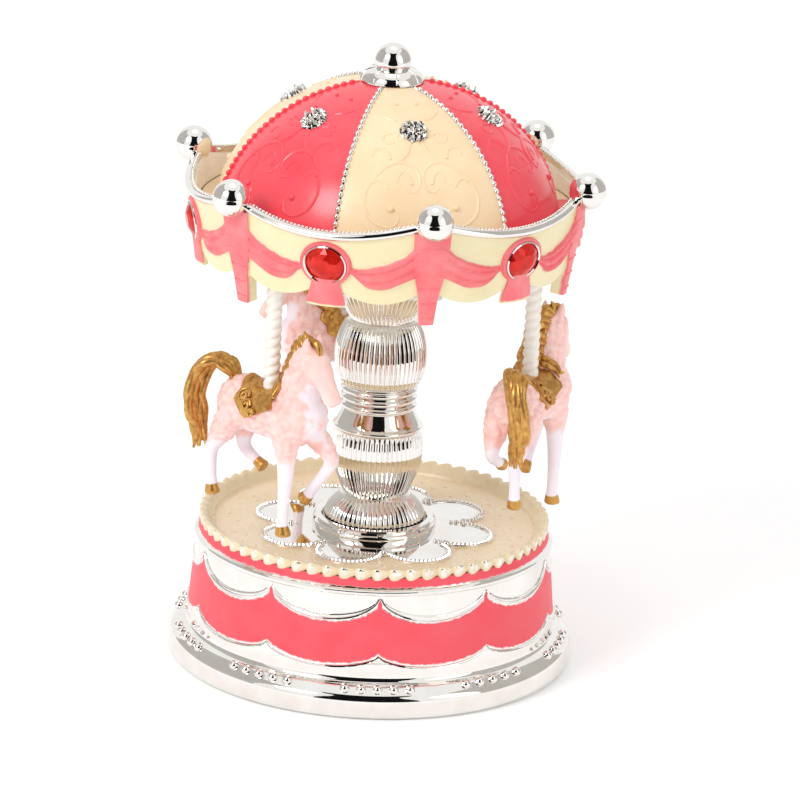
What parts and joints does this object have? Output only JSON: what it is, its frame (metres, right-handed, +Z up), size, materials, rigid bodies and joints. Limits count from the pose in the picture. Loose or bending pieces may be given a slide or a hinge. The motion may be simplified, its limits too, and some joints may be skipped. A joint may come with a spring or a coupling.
{
  "type": "carousel music box",
  "caption": "Wind-up carousel music box: plated base drum with a musical movement turning a fluted column, domed canopy with jewelled valance, and horses on twisted poles.",
  "frame": {"origin": "centre of the base's foot, on the table, on the column's axis", "axes": "+Z up along the column, -Y towards the pictured front, +X to its right"},
  "size_m": [0.119, 0.1212, 0.1759],
  "materials": {
    "plated_plastic": "vacuum-plated silver, mirror gloss, painted bands",
    "cream_plastic": "moulded cream plastic, satin",
    "dome_plastic": "moulded plastic, painted pink and cream panels",
    "jewel_plastic": "clear red faceted acrylic",
    "horse_plastic": "moulded plastic, painted pink, lilac white and gold",
    "pole_plastic": "moulded off-white plastic",
    "cover_plastic": "moulded off-white plastic, fine texture",
    "nylon": "natural nylon",
    "movement_brass": "turned brass",
    "movement_steel": "bright mild and spring steel",
    "key_metal": "nickel-plated pressing"
  },
  "bodies": {
    "base": {"base_shell": "plated_plastic", "base_cover": "cover_plastic", "cover_screws": "movement_steel", "deck_tray": "cream_plastic", "frill_ring": "plated_plastic", "deck_rosette": "plated_plastic", "deck_collar": "plated_plastic", "deck_bush": "nylon", "thrust_washer": "nylon", "bedplate": "movement_steel", "movement_screws": "movement_steel", "one_way_clutch": "movement_steel", "barrel_posts": "movement_brass", "barrel_bridge": "movement_steel", "bridge_screws": "movement_steel", "inner_bracket": "movement_steel", "end_bracket": "movement_steel", "fly_bracket": "movement_steel", "comb": "movement_steel", "comb_rest": "movement_brass", "comb_screws": "movement_steel"},
    "key": {"winding_key": "key_metal", "winding_arbor": "movement_steel"},
    "barrel": {"spring_barrel": "movement_brass", "barrel_lid": "movement_brass", "mainspring": "movement_steel"},
    "cylinder": {"music_cylinder": "movement_brass", "cylinder_shaft": "movement_steel", "cylinder_pinion": "movement_brass", "cylinder_wheel": "movement_brass"},
    "governor": {"fly_arbor": "movement_steel", "fly_vane": "nylon"},
    "carousel": {"spindle": "movement_steel", "drive_gear": "movement_brass", "crown_wheel": "movement_brass", "spindle_nut": "movement_steel", "column_foot": "plated_plastic", "lower_barrel": "plated_plastic", "ring_stack": "plated_plastic", "upper_barrel": "plated_plastic", "column_capital": "plated_plastic", "canopy_floor": "cover_plastic", "canopy_screws": "movement_steel", "valance": "cream_plastic", "crown_rim": "plated_plastic", "jewels": "jewel_plastic", "dome": "dome_plastic", "dome_medallions": "plated_plastic", "finial": "plated_plastic", "pole_screws": "movement_steel", "pole_1": "pole_plastic", "pole_2": "pole_plastic", "pole_3": "pole_plastic", "horse_1": "horse_plastic", "horse_2": "horse_plastic", "horse_3": "horse_plastic"}
  },
  "joints": [
    {"name": "carousel_spin", "type": "hinge", "parent": "base", "child": "carousel", "pos_m": [0, 0, 0.037], "axis": [0, 0, 1], "continuous": true},
    {"name": "barrel_spin", "type": "hinge", "parent": "base", "child": "barrel", "pos_m": [-0.0192, 0, 0.02], "axis": [0, 0, 1], "continuous": true},
    {"name": "cylinder_spin", "type": "hinge", "parent": "base", "child": "cylinder", "pos_m": [0.022, 0, 0.024], "axis": [1, 0, 0], "continuous": true},
    {"name": "governor_spin", "type": "hinge", "parent": "base", "child": "governor", "pos_m": [0.034, -0.01, 0.024], "axis": [1, 0, 0], "continuous": true},
    {"name": "key_turn", "type": "hinge", "parent": "base", "child": "key", "pos_m": [-0.0192, 0, 0.01], "axis": [0, 0, 1], "continuous": true}
  ],
  "couplings": [
    {"joint": "barrel_spin", "follows": "carousel_spin", "ratio": -0.5},
    {"joint": "cylinder_spin", "follows": "carousel_spin", "ratio": -2},
    {"joint": "governor_spin", "follows": "carousel_spin", "ratio": 6}
  ]
}
